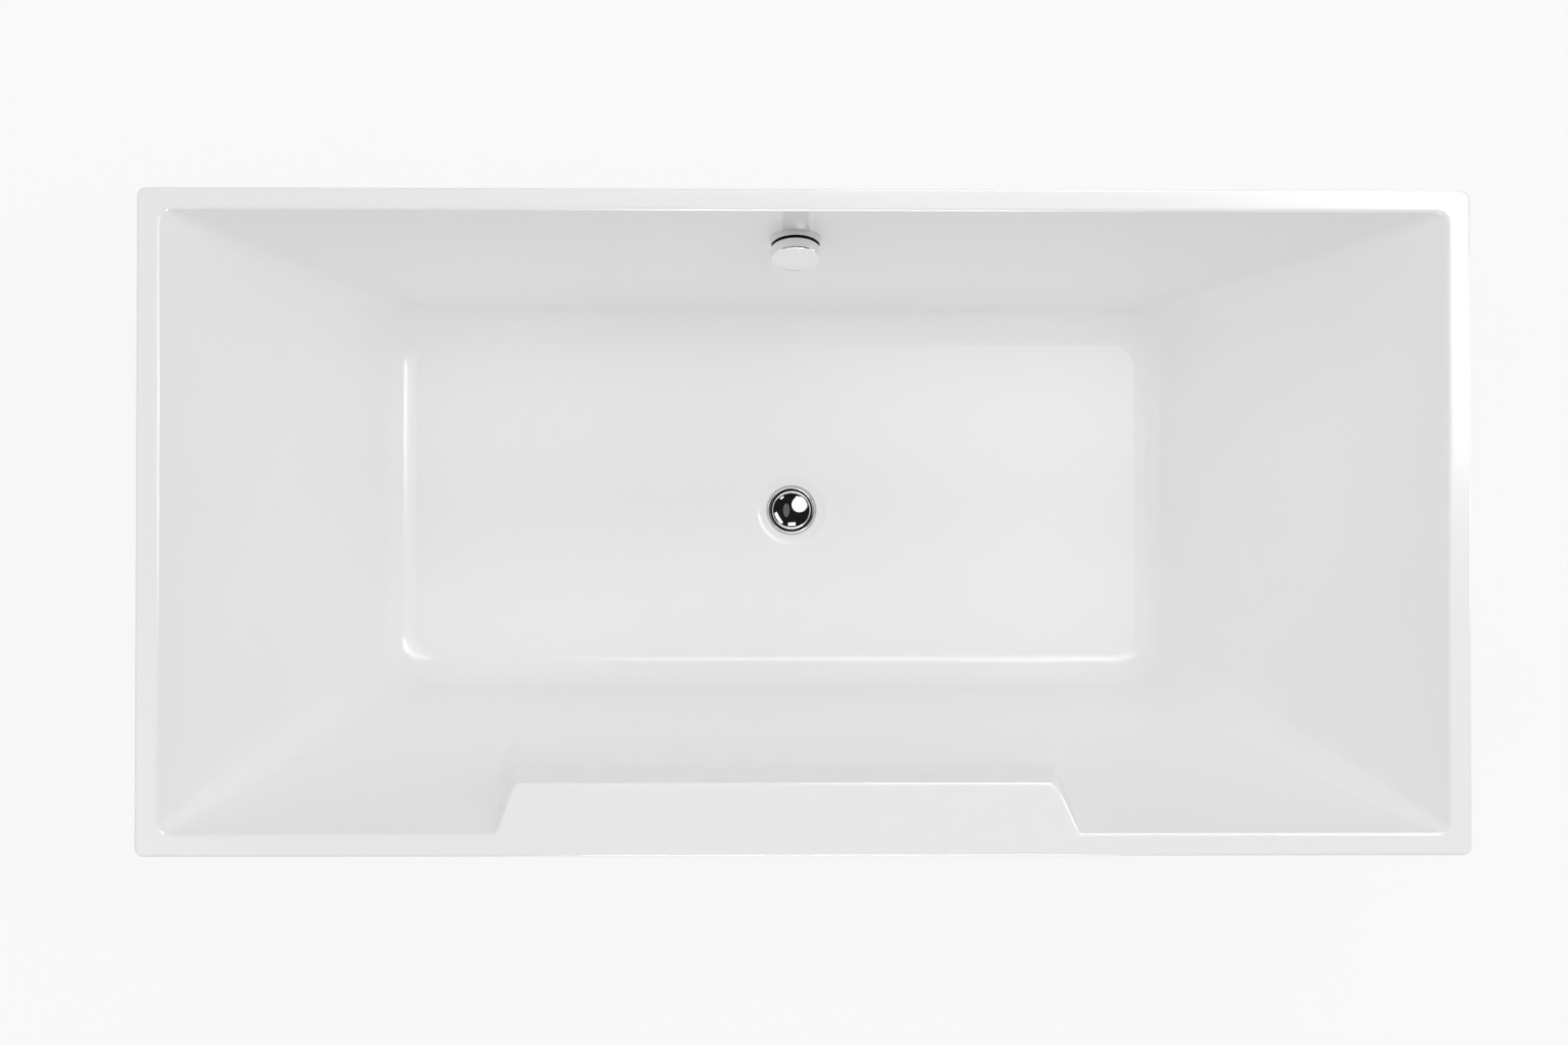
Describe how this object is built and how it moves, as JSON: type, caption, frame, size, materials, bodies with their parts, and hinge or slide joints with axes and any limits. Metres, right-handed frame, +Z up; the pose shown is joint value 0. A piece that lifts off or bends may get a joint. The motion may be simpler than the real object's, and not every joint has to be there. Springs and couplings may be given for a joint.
{
  "type": "acrylic bathtub",
  "caption": "Free-standing rectangular acrylic bathtub with a thin rim, a side ledge, a centre pop-up drain worked by an overflow knob, an outer skirt and levelling feet.",
  "frame": {"origin": "on the floor, under the middle of the rim", "axes": "+X along the tub's length, +Y towards the wall with the overflow, +Z up"},
  "size_m": [1.7, 0.85, 0.6],
  "materials": {
    "acrylic": "high gloss white",
    "fibreglass": "rough laminate",
    "sealant": "matte",
    "board": "raw chipboard",
    "frame_steel": "galvanised",
    "zinc_steel": "zinc plated",
    "foot_plastic": "matte black",
    "chrome": "polished",
    "rubber": "matte black",
    "white_plastic": "satin white",
    "black_plastic": "satin black"
  },
  "bodies": {
    "tub": {"basin_shell": "acrylic", "skirt": "acrylic", "fibreglass_backing": "fibreglass", "adhesive_bead": "sealant", "base_board": "board", "front_rail": "frame_steel", "back_rail": "frame_steel", "cross_rail_left": "frame_steel", "cross_rail_middle": "frame_steel", "cross_rail_right": "frame_steel", "skirt_brackets": "frame_steel", "board_screws": "zinc_steel", "skirt_screws": "zinc_steel", "foot_weld_nuts": "zinc_steel", "foot_lock_nuts": "zinc_steel", "overflow_screws": "zinc_steel", "lever_pin": "zinc_steel", "hose_clip": "zinc_steel", "waste_flange": "chrome", "overflow_base_ring": "chrome", "waste_upper_gasket": "rubber", "waste_lower_gasket": "rubber", "overflow_seal": "rubber", "cone_washer": "rubber", "waste_body": "white_plastic", "overflow_housing": "white_plastic", "overflow_pipe": "white_plastic", "pipe_nut": "white_plastic", "control_cable": "black_plastic", "waste_cable_gland": "black_plastic", "overflow_cable_gland": "black_plastic", "cable_clips": "black_plastic"},
    "knob": {"knob_cap": "chrome", "knob_spindle": "zinc_steel", "cable_drum": "black_plastic"},
    "plug": {"plug_cap": "chrome", "plug_seal": "rubber", "plug_stem": "zinc_steel"},
    "lever": {"lift_lever": "black_plastic"},
    "foot_front_left": {"foot_stud_front_left": "zinc_steel", "foot_pad_front_left": "foot_plastic"},
    "foot_back_left": {"foot_stud_back_left": "zinc_steel", "foot_pad_back_left": "foot_plastic"},
    "foot_front_middle": {"foot_stud_front_middle": "zinc_steel", "foot_pad_front_middle": "foot_plastic"},
    "foot_back_middle": {"foot_stud_back_middle": "zinc_steel", "foot_pad_back_middle": "foot_plastic"},
    "foot_front_right": {"foot_stud_front_right": "zinc_steel", "foot_pad_front_right": "foot_plastic"},
    "foot_back_right": {"foot_stud_back_right": "zinc_steel", "foot_pad_back_right": "foot_plastic"}
  },
  "joints": [
    {"name": "knob_turn", "type": "hinge", "parent": "tub", "child": "knob", "pos_m": [-0.012, 0.37788, 0.50201], "axis": [0, -0.9397, 0.342], "range_deg": [0, 90]},
    {"name": "plug_lift", "type": "slide", "parent": "tub", "child": "plug", "axis": [0, 0, 1], "range_m": [0, 0.00801]},
    {"name": "lever_swing", "type": "hinge", "parent": "tub", "child": "lever", "pos_m": [-0.012, 0.038, 0.076], "axis": [-1, 0, 0], "range_deg": [0, 28.96]},
    {"name": "foot_front_left_height", "type": "slide", "parent": "tub", "child": "foot_front_left", "axis": [0, 0, 1], "range_m": [-0.02, 0.006]},
    {"name": "foot_front_middle_height", "type": "slide", "parent": "tub", "child": "foot_front_middle", "axis": [0, 0, 1], "range_m": [-0.02, 0.006]},
    {"name": "foot_front_right_height", "type": "slide", "parent": "tub", "child": "foot_front_right", "axis": [0, 0, 1], "range_m": [-0.02, 0.006]},
    {"name": "foot_back_left_height", "type": "slide", "parent": "tub", "child": "foot_back_left", "axis": [0, 0, 1], "range_m": [-0.02, 0.006]},
    {"name": "foot_back_middle_height", "type": "slide", "parent": "tub", "child": "foot_back_middle", "axis": [0, 0, 1], "range_m": [-0.02, 0.006]},
    {"name": "foot_back_right_height", "type": "slide", "parent": "tub", "child": "foot_back_right", "axis": [0, 0, 1], "range_m": [-0.02, 0.006]}
  ],
  "couplings": [
    {"joint": "plug_lift", "follows": "knob_turn", "m_per_rad": 0.005093},
    {"joint": "lever_swing", "follows": "knob_turn", "ratio": 0.32172}
  ]
}
